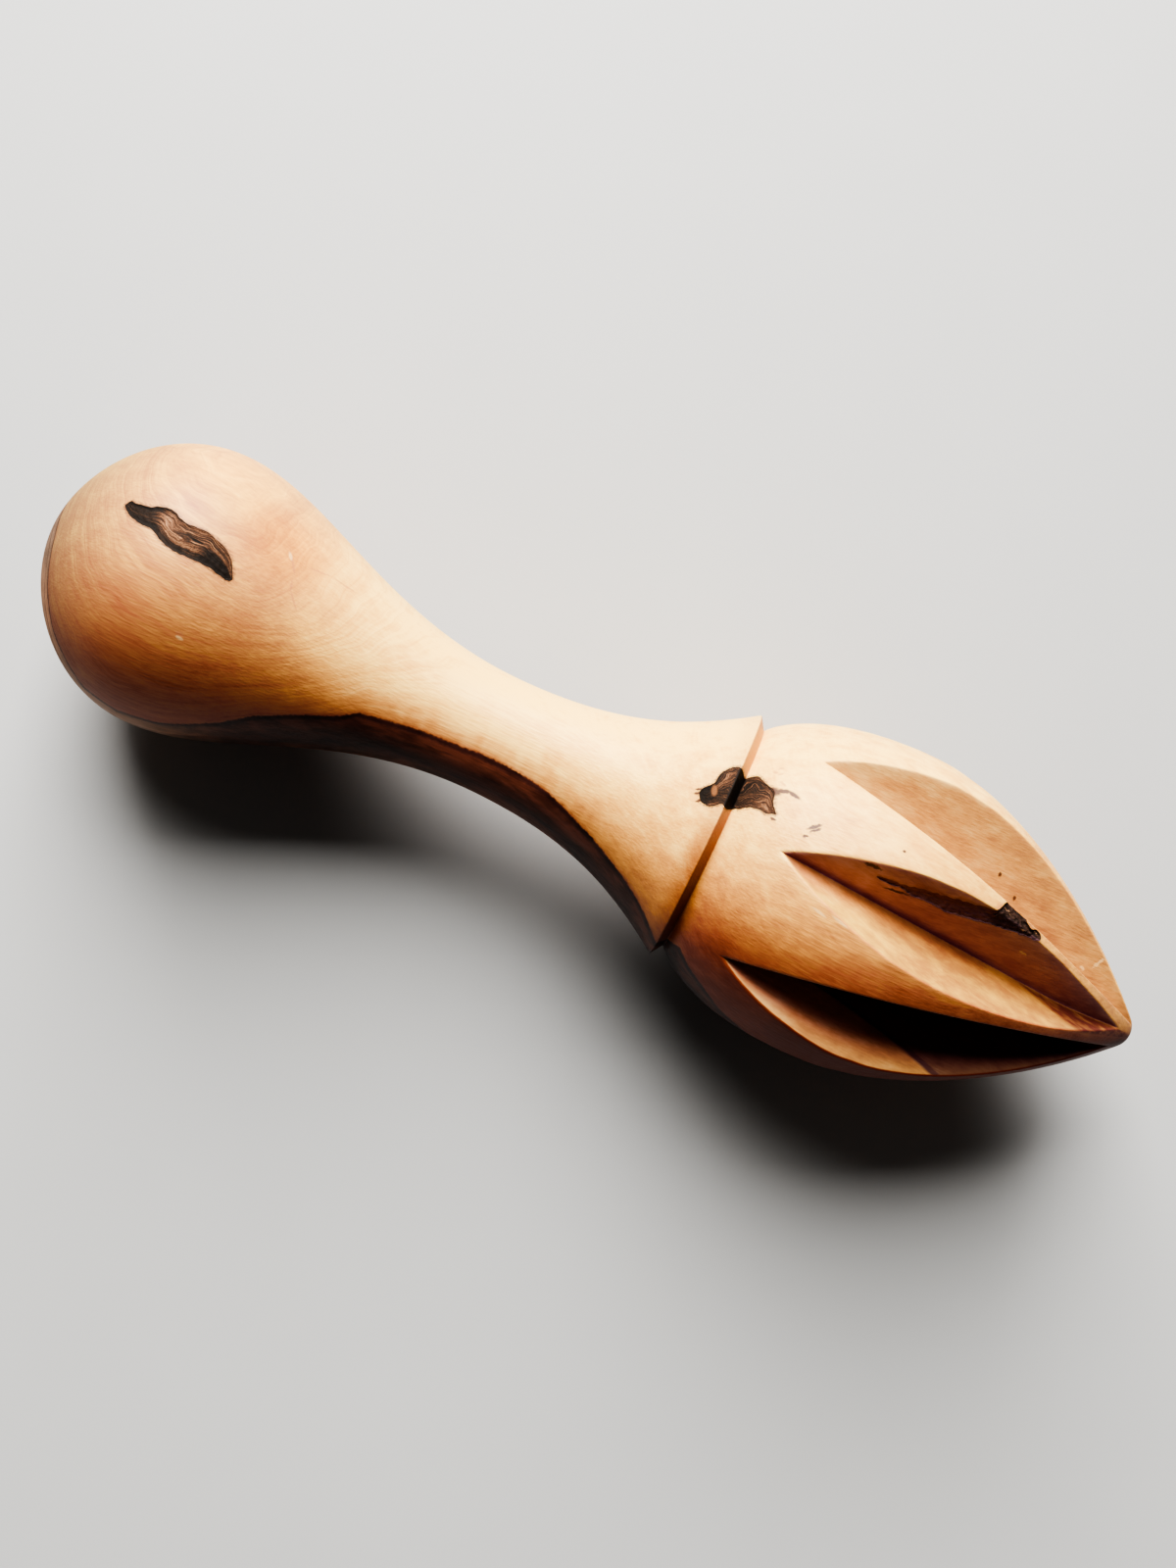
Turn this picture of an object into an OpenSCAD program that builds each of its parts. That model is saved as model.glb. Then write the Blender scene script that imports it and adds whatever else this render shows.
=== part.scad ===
// Wooden citrus reamer, turned and fluted from one blank, lying on its side.
// Millimetres, +Z up. The turning axis runs from the bulb at -X to the tip at +X.
// The origin is under the middle of the reamer, on the surface that it lies on.
// Places along the reamer are measured from the bulb's end.

/* [Overall] */
// Length from the bulb's end to the tip
overall_len = 165; // [160:1:185]

/* [Handle] */
// Diameter of the bulb that sits in the palm
bulb_d = 41; // [36:0.5:44]
// Place of the bulb's widest section
bulb_at = 20.5; // [17:0.5:26]
// Diameter of the waist
waist_d = 17; // [13:0.5:22]
// Place of the waist
waist_at = 68; // [62:0.5:74]
// Diameter of the sharp collar where the handle ends
collar_d = 36.5; // [33:0.5:38]
// Place of the collar's edge
collar_at = 100.6; // [97:0.1:103]

/* [Reaming head] */
// Diameter of the head at its widest section
head_d = 46.2; // [43:0.2:52]
// Place of the head's widest section
head_at = 124.5; // [119:0.5:128]
// How deep the groove behind the collar is cut, from the collar's edge
groove_depth = 1.9; // [1:0.1:3.5]
// How wide the groove is from the collar's edge to its bottom
groove_w = 1.2; // [0.8:0.1:2.5]
// Radius of the blunt tip
tip_r = 3.1; // [2:0.1:4]

/* [Flutes] */
// Number of V-shaped flutes
flute_count = 8; // [6:1:9]
// Angle between the two walls of a flute
flute_angle = 82; // [66:1:88]
// Place where the flutes begin
flute_at = 109.3; // [107:0.1:114]
// Height of a flute's root over the turning axis, at the tip
flute_end_r = 2.7; // [1.6:0.1:3.4]
// How far the uppermost flute was cut askew, in degrees
flute_skew = 2.4; // [0:0.1:5]
// How far the uppermost flute was cut round from straight up, in degrees
flute_turn = 2.2; // [0:0.1:4]
// How far the next flute round was cut out of its even place, towards the uppermost one, in degrees
flute_drift = 5.3; // [0:0.1:7]

/* [Knots] */
// Place of the middle of the knot in the bulb
handle_knot_at = 22.5; // [19:0.5:26]
// Angle of the knot in the bulb, from straight up
handle_knot_angle = -12.5; // [-30:0.5:30]
// Length of the knot in the bulb
handle_knot_len = 16.6; // [10:0.2:22]
// Width of the knot in the bulb
handle_knot_w = 5; // [3:0.2:8]
// Angle of the knot that the collar's groove cuts across, from straight up
collar_knot_angle = -18; // [-30:1:30]
// Length of the knot that the collar's groove cuts across
collar_knot_len = 11.8; // [8:0.2:14]
// Width of the knot that the collar's groove cuts across
collar_knot_w = 7.2; // [4:0.2:9]
// How deep both knots go into the wood
knot_depth = 6; // [3:0.5:8]
// Distance from the uppermost flute's start to its bark streak
streak_at = 9.3; // [7:0.1:12]
// Length of the bark streak that the uppermost flute lays open
streak_len = 25.5; // [18:0.5:30]
// How far up the flute's wall the bark streak reaches, over the rib's crest
streak_rise = 12.5; // [11:0.1:13]
// Thickness of the bark streak behind the flute's wall
streak_t = 1.8; // [1:0.1:2.6]

/* [Hidden] */
$fn = 96;

bulb_r = bulb_d / 2;
waist_r = waist_d / 2;
collar_r = collar_d / 2;
head_r = head_d / 2;
groove_at = collar_at + groove_w;
groove_r = collar_r - groove_depth;

// How full each stretch of the profile is at its two ends, as a share of that stretch
bulb_end_fullness = [0.36, 0.64];
swan_neck_fullness = [0.27, 0.45];
collar_flare_fullness = [0.48, 0.26];
dome_fullness = [0.01, 0.77];
nose_fullness = [0.44, 0.1];
// Slope at which the handle flares out to the collar, and at which the nose meets the tip
collar_slope = 0.68;
nose_slope = 0.97;
// Way in which the dome rises out of the groove
dome_way = [0.3, 1];
curve_steps = 14;
tip_steps = 5;

// The tip is a ball of tip_r that the nose meets at a tangent
nose_angle = atan(nose_slope);
ball_at = overall_len - tip_r;
nose_end = [ball_at + tip_r * sin(nose_angle), tip_r * cos(nose_angle)];
nose_len = nose_end[0] - head_at;
flare_len = collar_at - waist_at;
swan_len = waist_at - bulb_at;
dome_len = head_at - groove_at;

function bezier_point(p, t) =
    pow(1 - t, 3) * p[0] + 3 * pow(1 - t, 2) * t * p[1]
    + 3 * (1 - t) * pow(t, 2) * p[2] + pow(t, 3) * p[3];
function bezier(p) = [for (i = [0:curve_steps]) bezier_point(p, i / curve_steps)];

// Profile points are [place along the reamer, radius]
bulb_end = bezier([
    [0, 0],
    [0, bulb_end_fullness[0] * bulb_r],
    [bulb_at * (1 - bulb_end_fullness[1]), bulb_r],
    [bulb_at, bulb_r]
]);
swan_neck = bezier([
    [bulb_at, bulb_r],
    [bulb_at + swan_neck_fullness[0] * swan_len, bulb_r],
    [waist_at - swan_neck_fullness[1] * swan_len, waist_r],
    [waist_at, waist_r]
]);
collar_flare = bezier([
    [waist_at, waist_r],
    [waist_at + collar_flare_fullness[0] * flare_len, waist_r],
    [collar_at, collar_r] - collar_flare_fullness[1] * flare_len * [1, collar_slope],
    [collar_at, collar_r]
]);
dome = bezier([
    [groove_at, groove_r],
    [groove_at, groove_r] + dome_fullness[0] * dome_len * dome_way,
    [head_at - dome_fullness[1] * dome_len, head_r],
    [head_at, head_r]
]);
nose = bezier([
    [head_at, head_r],
    [head_at + nose_fullness[0] * nose_len, head_r],
    nose_end + nose_fullness[1] * nose_len * [-1, nose_slope],
    nose_end
]);
tip = [
    for (i = [1:tip_steps])
    let (a = (90 - nose_angle) * (1 - i / tip_steps))
    [ball_at + tip_r * cos(a), tip_r * sin(a)]
];
function after_first(points) = [for (i = [1:len(points) - 1]) points[i]];
head_profile = concat(dome, after_first(nose));
profile = concat(
    bulb_end, after_first(swan_neck), after_first(collar_flare), head_profile, tip
);
function head_radius(place) = lookup(place, head_profile);

// A flute's root is a straight line from the head's surface down to the tip
flute_start_r = head_radius(flute_at);
flute_slope = atan((flute_start_r - flute_end_r) / (overall_len - flute_at));
flute_step = 360 / flute_count;
flute_mid = (flute_at + overall_len) / 2;
function root_height(place) = flute_start_r - (place - flute_at) * tan(flute_slope);

// Half the angle that a flute takes out of a section square to the axis
wall_cot = 1 / (tan(flute_angle / 2) * cos(flute_slope));
function flute_half(p) =
    acos(root_height(p[0]) / (p[1] * sqrt(1 + pow(wall_cot, 2)))) - atan(wall_cot);

// The reamer lies on the bulb and on the two ribs beside the lowest flute
rib_seats = [
    for (p = head_profile)
    if (p[0] > flute_at && p[1] > root_height(p[0])) [p[0], p[1] * cos(flute_half(p))]
];
tilt = max([for (p = rib_seats) atan((p[1] - bulb_r) / (p[0] - bulb_at))]);
seats = concat(bulb_end, swan_neck, rib_seats);
lift = -min([for (p = seats) p[0] * sin(tilt) - p[1] * cos(tilt)]);
back_end = min([for (p = profile) p[0] * cos(tilt) - p[1] * sin(tilt)]);
front_end = max([for (p = profile) p[0] * cos(tilt) + p[1] * sin(tilt)]);

// Outlines as shares of a knot's length and width, seen from outside
handle_knot_outline = [
    [-0.53, 0.12], [-0.51, 0.34], [-0.36, 0.37], [-0.21, 0.5], [-0.05, 0.38],
    [0.13, 0.45], [0.29, 0.34], [0.41, 0.02], [0.47, -0.42], [0.42, -0.5],
    [0.29, -0.42], [0.17, -0.44], [0.02, -0.44], [-0.14, -0.3], [-0.29, -0.18],
    [-0.45, -0.14]
];
collar_knot_outline = [
    [-0.35, -0.2], [-0.27, -0.47], [-0.15, -0.49], [0.07, -0.33], [0.2, -0.21],
    [0.49, -0.22], [0.42, -0.03], [0.43, 0.17], [0.65, 0.17], [0.53, 0.26],
    [0.3, 0.3], [0.14, 0.5], [0.06, 0.28], [-0.04, 0.44], [-0.11, 0.43],
    [-0.2, 0.25], [-0.21, 0.01], [-0.31, -0.12]
];
// Outline on the flute's wall, from its dark thread to the rib's crest, as shares of the
// streak's length and of its reach up the wall
streak_outline = [
    [0, 0.37], [0.11, 0.32], [0.27, 0.43], [0.57, 0.66], [0.67, 0.78], [0.73, 1],
    [0.97, 0.86], [1, 0.66], [0.78, 0.54], [0.61, 0.43], [0.45, 0.32], [0.27, 0.26],
    [0.14, 0.22]
];
// How far plugs and cutters stand over the wood
skin = 2;

function scaled(points, l, w) = [for (p = points) [p[0] * l, p[1] * w]];

module blank() {
    rotate([0, 90, 0])
        rotate_extrude()
            polygon(concat([for (p = profile) [p[1], p[0]]], [[0, 0]]));
}

// The V's walls have to pass the head's surface all along, so they are head_r high, and the V
// goes on past both ends of the flute
module flute_cutter() {
    flute_len = (overall_len - flute_at) / cos(flute_slope);
    half_w = head_r * tan(flute_angle / 2);
    translate([flute_at, 0, flute_start_r])
        rotate([0, flute_slope, 0])
            translate([-skin, 0, 0])
                rotate([90, 0, 90])
                    linear_extrude(flute_len + 4 * skin)
                        polygon([[0, 0], [half_w, head_r], [-half_w, head_r]]);
}

module askew() {
    rotate([flute_turn, 0, 0])
        translate([flute_mid, 0, 0])
            rotate([0, 0, -flute_skew])
                translate([-flute_mid, 0, 0])
                    children();
}

module flutes() {
    askew() flute_cutter();
    for (i = [1:flute_count - 2])
        rotate([i * flute_step, 0, 0]) flute_cutter();
    rotate([flute_drift - flute_step, 0, 0]) flute_cutter();
}

module fluted_blank() {
    difference() {
        blank();
        flutes();
    }
}

// A plug of the outline's shape, from knot_depth below the surface to just above it
module knot_core(place, angle, surface_r, outline) {
    rotate([angle, 0, 0])
        translate([place, 0, surface_r - knot_depth])
            linear_extrude(knot_depth + skin)
                polygon(outline);
}

module handle_knot_core() {
    outline = scaled(handle_knot_outline, handle_knot_len, handle_knot_w);
    knot_core(handle_knot_at, handle_knot_angle, bulb_r, outline);
}

module collar_knot_core() {
    outline = scaled(collar_knot_outline, collar_knot_len, collar_knot_w);
    knot_core(collar_at, collar_knot_angle, collar_r, outline);
}

// The streak's outline lies on the uppermost flute's wall and goes streak_t behind it
module streak_core() {
    askew()
        translate([flute_at, 0, flute_start_r])
            rotate([0, flute_slope, 0])
                rotate([90 - flute_angle / 2, 0, 0])
                    translate([streak_at, 0, -streak_t])
                        linear_extrude(streak_t + skin)
                            polygon(scaled(streak_outline, streak_len, streak_rise));
}

module at_rest() {
    translate([-(back_end + front_end) / 2, 0, lift])
        rotate([0, -tilt, 0])
            children();
}

module turned_body() {
    color("burlywood")
        at_rest()
            difference() {
                fluted_blank();
                handle_knot_core();
                collar_knot_core();
                streak_core();
            }
}

module handle_knot() {
    color("saddlebrown")
        at_rest()
            intersection() {
                blank();
                handle_knot_core();
            }
}

module collar_knot() {
    color("saddlebrown")
        at_rest()
            intersection() {
                fluted_blank();
                collar_knot_core();
            }
}

module flute_streak() {
    color("black")
        at_rest()
            intersection() {
                fluted_blank();
                streak_core();
            }
}

turned_body();
handle_knot();
collar_knot();
flute_streak();
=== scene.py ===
"""The looks of a wooden citrus reamer that lies on its side on a pale table.

Lengths in the geometry code are metres. "Along" is a place on the turning axis, counted from the
bulb's end. "Turn" is an angle round that axis, 0 straight up and positive towards -Y.
"""

import math
from collections import namedtuple

import bpy
import numpy as np
from mathutils import Matrix, Vector, kdtree, noise


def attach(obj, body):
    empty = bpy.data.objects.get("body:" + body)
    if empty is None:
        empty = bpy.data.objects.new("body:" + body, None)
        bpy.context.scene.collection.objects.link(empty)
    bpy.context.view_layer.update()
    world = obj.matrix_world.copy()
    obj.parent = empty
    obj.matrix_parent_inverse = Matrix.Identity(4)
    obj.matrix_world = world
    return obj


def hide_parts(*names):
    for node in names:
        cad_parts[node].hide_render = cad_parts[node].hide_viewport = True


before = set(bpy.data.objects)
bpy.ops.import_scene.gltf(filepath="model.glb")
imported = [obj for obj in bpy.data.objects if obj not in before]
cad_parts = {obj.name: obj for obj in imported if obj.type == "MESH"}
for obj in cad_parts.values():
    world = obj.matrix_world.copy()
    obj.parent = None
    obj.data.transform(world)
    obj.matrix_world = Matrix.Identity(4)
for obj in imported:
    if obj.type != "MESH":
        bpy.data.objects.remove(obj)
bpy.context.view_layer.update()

MM = 0.001
DEG = math.pi / 180

# The turning axis in the row's frame: where it starts at the bulb's end, and how it climbs
AXIS_START = np.array((-82.4827, 0.0, 20.0761)) * MM
AXIS_TILT = 1.1727 * DEG
AXIS_WAY = np.array((math.cos(AXIS_TILT), 0.0, math.sin(AXIS_TILT)))
AXIS_UP = np.array((-math.sin(AXIS_TILT), 0.0, math.cos(AXIS_TILT)))
AXIS_SIDE = np.array((0.0, -1.0, 0.0))

LENGTH = 165 * MM
COLLAR_AT = 100.6 * MM

# Each flute: its turn, how far it is askew, the half angle between its walls, where it starts
# and how far its root is from the axis at the tip
Flute = namedtuple("Flute", "turn skew half start end")
FLUTES = [
    Flute(2.2, 2.3, 39.4, 109.3, 3.2),
    Flute(45.5, 0, 39.9, 108.6, 3.3),
    Flute(90, 0, 39.6, 109.3, 2.7),
    Flute(135, 0, 39.6, 109.3, 2.7),
    Flute(180, 0, 39.6, 109.3, 2.7),
    Flute(225, 0, 39.6, 109.3, 2.7),
    Flute(270, 0, 39.6, 109.3, 2.7),
    Flute(320.4, 1.0, 39.2, 109.9, 1.6),
]
FLUTE_MID = 137.15 * MM
SKEW_ENDS_AT = 150 * MM

# How the worn edges are rounded
LIP_ROUND = 0.35 * MM
ROOT_ROUND = 0.30 * MM
RUN_OUT = 7 * MM
EDGE_PASSES = 14
FINE_STEP = 0.05 * MM

NEVER = 1.0


def to_row(along, turn, radius):
    """Points in the row's frame, from places along the axis, turns and radii."""
    along, turn, radius = np.broadcast_arrays(along, turn, radius)
    way = along[..., None] * AXIS_WAY
    up = (radius * np.cos(turn))[..., None] * AXIS_UP
    side = (radius * np.sin(turn))[..., None] * AXIS_SIDE
    return AXIS_START + way + up + side


def from_row(points):
    """Places along the axis, turns and radii of points in the row's frame."""
    rel = np.asarray(points) - AXIS_START
    up, side = rel @ AXIS_UP, rel @ AXIS_SIDE
    return rel @ AXIS_WAY, np.arctan2(side, up), np.hypot(up, side)


def mesh_points(mesh):
    co = np.empty(len(mesh.vertices) * 3)
    mesh.vertices.foreach_get("co", co)
    return co.reshape(-1, 3)


def smoothstep(x):
    x = np.clip(x, 0, 1)
    return x * x * (3 - 2 * x)


# The turned profile, measured on the CAD body


def measured_rings():
    """The rings that the CAD body's turned surface is made of, as (along, radius)."""
    along, _, radius = from_row(mesh_points(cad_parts["turned_body"].data))
    order = np.argsort(along)
    along, radius = along[order], radius[order]
    groups = np.split(np.arange(len(along)), np.where(np.diff(along) > 0.004 * MM)[0] + 1)
    rings = []
    for group in groups:
        top = radius[group].max()
        if (radius[group] > top - 0.01 * MM).sum() >= 10:
            rings.append((along[group].mean(), top))
    rings = np.array([(0.0, 0.0), *rings, (LENGTH, 0.0)])
    step = np.diff(rings, axis=0)
    heading = np.arctan2(step[:, 1], step[:, 0])
    bends = np.abs(np.diff(heading)) > 0.35 * DEG
    return rings[np.concatenate([[True], bends, [True]])]


def spline(points, step):
    """A cubic spline through points, sampled about every step."""
    points = np.asarray(points, float)
    s = np.concatenate([[0], np.cumsum(np.linalg.norm(np.diff(points, axis=0), axis=1))])
    n, h = len(s), np.diff(s)
    a = np.eye(n)
    b = np.zeros_like(points)
    for i in range(1, n - 1):
        a[i, i - 1 : i + 2] = h[i - 1], 2 * (h[i - 1] + h[i]), h[i]
        b[i] = 6 * ((points[i + 1] - points[i]) / h[i] - (points[i] - points[i - 1]) / h[i - 1])
    bend = np.linalg.solve(a, b)
    at = np.linspace(0, s[-1], max(2, int(s[-1] / step)))
    i = np.clip(np.searchsorted(s, at, side="right") - 1, 0, n - 2)
    u, v, w = (at - s[i])[:, None], (s[i + 1] - at)[:, None], h[i][:, None]
    out = (bend[i] * v**3 + bend[i + 1] * u**3) / (6 * w)
    out += (points[i] / w - bend[i] * w / 6) * v + (points[i + 1] / w - bend[i + 1] * w / 6) * u
    return out


def make_profile():
    """The turned profile as close points (along, radius), with its sharp corners a little worn."""
    rings = measured_rings()
    edge = int(np.argmin(np.abs(rings[:, 0] - COLLAR_AT)))
    mirror = np.array((1, -1))
    handle = spline(np.vstack([rings[2:0:-1] * mirror, rings[: edge + 1]]), FINE_STEP)
    handle = handle[handle[:, 1] >= 0]
    head = spline(np.vstack([rings[edge + 1 :], rings[-2:-4:-1] * mirror]), FINE_STEP)
    head = head[head[:, 1] >= 0]
    wall = np.linspace(handle[-1], head[0], 49)[1:-1]
    line = np.vstack([[(0, 0)], handle[1:], wall, head[:-1], [(LENGTH, 0)]])
    for _ in range(EDGE_PASSES):
        line[1:-1] = (line[:-2] + 2 * line[1:-1] + line[2:]) / 4
    return line


PROFILE = make_profile()


def turned_radius(along):
    return np.interp(along, PROFILE[:, 0], PROFILE[:, 1])


# The flutes: straight V cuts, each with its root line and two walls


def root_height(along, flute):
    start = flute.start * MM
    high = turned_radius(start)
    return high - (along - start) * (high - flute.end * MM) / (LENGTH - start)


def root_offset(along, flute):
    """How far a flute's root lies to the side of its turn: it drifts, and comes back at the tip."""
    fade = smoothstep((LENGTH - along) / (LENGTH - SKEW_ENDS_AT))
    return math.tan(flute.skew * DEG) * (along - FLUTE_MID) * fade


def wall_radius(along, turn, flute, side):
    """The radius at which a ray from the axis meets the wall on one side of a flute."""
    spread = math.tan(flute.half * DEG)
    angle = turn - flute.turn * DEG
    angle = (angle + math.pi) % (2 * math.pi) - math.pi
    high = root_height(along, flute) * spread - side * root_offset(along, flute)
    across = np.cos(angle) * spread - side * np.sin(angle)
    return np.where(across > 1e-4, high / np.maximum(across, 1e-4), NEVER)


def soft_min(a, b, k):
    h = np.maximum(k - np.abs(a - b), 0) / k
    return np.minimum(a, b) - h * h * k / 4


def surface_radius(along, turn, turned=None):
    """The finished surface: the turned one, less the flutes, with worn lips and roots."""
    along, turn = np.broadcast_arrays(along, turn)
    radius = turned_radius(along) if turned is None else turned
    radius = np.array(np.broadcast_to(radius, along.shape))
    for flute in FLUTES:
        left = wall_radius(along, turn, flute, -1)
        right = wall_radius(along, turn, flute, 1)
        # Where a flute runs out, its edges are too shallow to be rounded much
        worn = np.clip((along - flute.start * MM) / RUN_OUT, 0.15, 1)
        cut = -soft_min(-left, -right, ROOT_ROUND * worn)
        radius = soft_min(radius, cut, LIP_ROUND * worn)
    return np.maximum(radius, 0)


def lip_turn(along, turned, flute, side):
    """The turn at which a flute's wall comes out of the turned surface."""
    spread = math.tan(flute.half * DEG)
    off, root = root_offset(along, flute), root_height(along, flute)
    # Along the wall: across = off + side * (height - root) * spread
    a = 1 + spread**2
    start = off - side * root * spread
    b = 2 * side * spread * start
    c = start**2 - turned**2
    height = (-b + np.sqrt(np.maximum(b * b - 4 * a * c, 0))) / (2 * a)
    across = off + side * (height - root) * spread
    return flute.turn * DEG + np.arctan2(across, height)


# The body's mesh: a grid whose columns follow the flutes' roots and lips

WALL_SHARES = (0, 0.05, 0.15, 0.3, 0.46, 0.62, 0.77, 0.89, 0.96)
LAND_SHARES = (0, 0.015, 0.05, 0.13, 0.25, 0.37, 0.5, 0.63, 0.75, 0.87, 0.95, 0.985)
LAND_LEAST = 0.13 * MM
FIRST_FLUTE = min(flute.start for flute in FLUTES) * MM


def grid_stations():
    """Indices into PROFILE: rows are close together at corners and where the flutes begin."""
    step = np.linalg.norm(np.diff(PROFILE, axis=0), axis=1)
    at = PROFILE[:-1, 0]
    gap = np.full(len(at), 0.75 * MM)
    gap[at > COLLAR_AT + 2 * MM] = 0.5 * MM
    gap[np.abs(at - FIRST_FLUTE - 1 * MM) < 3 * MM] = 0.3 * MM
    gap[np.abs(at - COLLAR_AT - 0.5 * MM) < 2.2 * MM] = 0.12 * MM
    gap[at > LENGTH - 3 * MM] = 0.2 * MM
    gap[at < 1 * MM] = 0.4 * MM
    count = np.concatenate([[0], np.cumsum(step / gap)])
    rows = np.searchsorted(count, np.arange(1, int(count[-1])))
    return np.unique(rows[(rows > 4) & (rows < len(PROFILE) - 3)])


def flute_root(along, flute):
    return flute.turn * DEG + np.arctan2(root_offset(along, flute), root_height(along, flute))


def pair_columns(along, turned, here, there):
    """The columns from one flute's root to the next one's, as turns: rows by columns."""
    shift = 0 if there.turn > here.turn else 2 * math.pi
    root_a, root_b = flute_root(along, here), flute_root(along, there) + shift
    fluted = along > FIRST_FLUTE
    before = smoothstep((FIRST_FLUTE - along) / (8 * MM))
    spare = 0.3 * MM / turned + 0.25 * (root_b - root_a) * before
    lip_a = np.where(along > here.start * MM, lip_turn(along, turned, here, 1), root_a)
    lip_b = np.where(along > there.start * MM, lip_turn(along, turned, there, -1) + shift, root_b)
    lip_a = root_a + np.hypot(lip_a - root_a, spare)
    lip_b = root_b - np.hypot(root_b - lip_b, spare)
    # Where the land has run out, the two walls meet in a crest
    low, high = root_a.copy(), root_b.copy()
    for _ in range(40):
        mid = (low + high) / 2
        lower = wall_radius(along, mid, here, 1) < wall_radius(along, mid, there, -1)
        low, high = np.where(lower, mid, low), np.where(lower, high, mid)
    met = (lip_a > lip_b) & fluted
    centre = np.where(met, low, (lip_a + lip_b) / 2)
    half = np.maximum(np.where(met, 0, (lip_b - lip_a) / 2), LAND_LEAST / turned)
    half = np.minimum(half, 0.4 * (root_b - root_a))
    lip_a, lip_b = centre - half, centre + half
    columns = [root_a + s * (lip_a - root_a) for s in WALL_SHARES]
    columns += [lip_a + s * (lip_b - lip_a) for s in LAND_SHARES]
    columns += [lip_b + (1 - s) * (root_b - lip_b) for s in (1.0, *WALL_SHARES[:0:-1])]
    return np.stack(columns, axis=1)


def new_object(name, points, faces):
    mesh = bpy.data.meshes.new(name)
    mesh.from_pydata([tuple(p) for p in points], [], faces)
    mesh.validate()
    obj = bpy.data.objects.new(name, mesh)
    bpy.context.scene.collection.objects.link(obj)
    return obj


def ring_faces(rows, columns):
    """Quads between closed rings of points that are numbered row by row."""
    faces = []
    for i in range(rows - 1):
        for j in range(columns):
            k = (j + 1) % columns
            low, high = i * columns, (i + 1) * columns
            faces.append((low + j, low + k, high + k, high + j))
    return faces


def make_body():
    stations = PROFILE[grid_stations()]
    along, turned = stations[:, 0], stations[:, 1]
    pairs = zip(FLUTES, FLUTES[1:] + FLUTES[:1])
    turns = np.hstack([pair_columns(along, turned, a, b) for a, b in pairs])
    radius = surface_radius(along[:, None], turns, turned[:, None])
    points = to_row(along[:, None], turns, radius)
    rows, columns = turns.shape
    faces = ring_faces(rows, columns)
    first, last = rows * columns, rows * columns + 1
    top = (rows - 1) * columns
    faces += [(first, (j + 1) % columns, j) for j in range(columns)]
    faces += [(last, top + j, top + (j + 1) % columns) for j in range(columns)]
    poles = to_row(np.array([0, LENGTH]), np.zeros(2), np.zeros(2))
    return new_object("reamer_body", np.vstack([points.reshape(-1, 3), poles]), faces)


# The knots and the bark: each lies in a pocket, between two edges given at stations along it

Inlay = namedtuple("Inlay", "node slot ladder axis_turn depth recess ridges columns")

HANDLE_KNOT = Inlay(
    "handle_knot", "knot_wood",
    [
        (13.5, -15.2, -14.7), (13.7, -16.4, -14.1), (14, -17.5, -13.2), (14.5, -17.1, -12.2),
        (14.9, -16.9, -11.6), (15.6, -17.2, -10.7), (16.4, -17.1, -10.0), (17, -17.6, -9.8),
        (17.5, -18.4, -9.6), (18.1, -19.2, -9.6), (18.8, -19.5, -9.2), (19.4, -19.7, -8.5),
        (20.1, -19.3, -7.5), (20.7, -18.5, -6.8), (21.3, -17.7, -6.3), (22, -17.4, -5.9),
        (22.7, -17.4, -5.9), (23.4, -17.7, -5.8), (24, -17.9, -5.9), (24.7, -18.2, -6.0),
        (25.3, -18.2, -6.1), (26, -17.6, -6.3), (27, -17.0, -6.3), (27.8, -16.2, -6.2),
        (28.4, -15.0, -5.5), (29.1, -13.5, -5.4), (29.6, -11.5, -5.1), (30, -9.1, -5.2),
        (30.3, -7.5, -5.7), (30.4, -6.9, -6.3),
    ],
    -12.5, 6 * MM, 0.06 * MM, 0.10 * MM, 44,
)
COLLAR_KNOT = Inlay(
    "collar_knot", "knot_wood",
    [
        (97, -12.7, -11.8), (97.2, -14.4, -10.3), (97.5, -15.6, -8.5), (97.9, -16.8, -7.6),
        (98.2, -17.9, -7.3), (98.38, -21.4, -7.1), (98.6, -24.0, -6.8), (98.9, -25.6, -6.8),
        (99.3, -26.9, -7.4), (99.7, -27.6, -8.5), (100, -27.9, -9.3), (100.35, -27.8, -9.3),
        (100.65, -27.4, -8.7), (100.95, -27.3, -8.5), (101.3, -27.0, -9.2), (101.58, -26.6, -10.1),
        (101.75, -27.2, -10.7), (101.95, -28.0, -11.0), (102.35, -28.5, -11.4),
        (102.75, -28.8, -12.0), (103.1, -28.5, -12.7), (103.5, -27.5, -13.1),
        (103.9, -26.1, -13.2), (104.45, -24.8, -13.2), (104.9, -23.9, -13.1),
        (105.35, -23.0, -12.6), (105.7, -21.6, -12.4), (105.95, -17.8, -12.4),
        (106.2, -16.1, -12.6), (106.5, -14.8, -12.8), (106.75, -13.8, -12.9),
        (106.9, -13.3, -13.0),
    ],
    -18, 5.5 * MM, 0.04 * MM, 0.08 * MM, 60,
)
STREAK = Inlay(
    "flute_streak", "bark",
    [
        (121.7, -7.7, -7.3), (122.4, -8.0, -7.1), (123.2, -8.4, -7.3), (124.2, -8.7, -7.6),
        (125.3, -9.0, -7.9), (126.1, -9.5, -7.8), (127, -10.1, -7.4), (128.3, -10.8, -8.0),
        (129.7, -11.4, -8.4), (131.2, -12.2, -8.5), (132.6, -12.9, -8.9), (133.9, -13.5, -9.6),
        (135.2, -14.2, -10.4), (136.4, -14.8, -11.1), (137.2, -15.2, -11.7),
        (137.75, -17.2, -12.0), (138.3, -20.6, -12.3), (139.1, -21.8, -12.6),
        (140.4, -22.0, -13.2), (141.3, -21.2, -13.7), (141.8, -19.5, -13.9), (142.3, -18.2, -14.1),
        (142.9, -17.8, -14.4), (143.5, -18.7, -14.7), (144, -19.0, -14.9), (144.35, -18.5, -15.1),
        (144.6, -17.4, -15.5), (144.7, -16.6, -16.0),
    ],
    -4, 1.8 * MM, 0.16 * MM, 0.34 * MM, 26,
)
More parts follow.
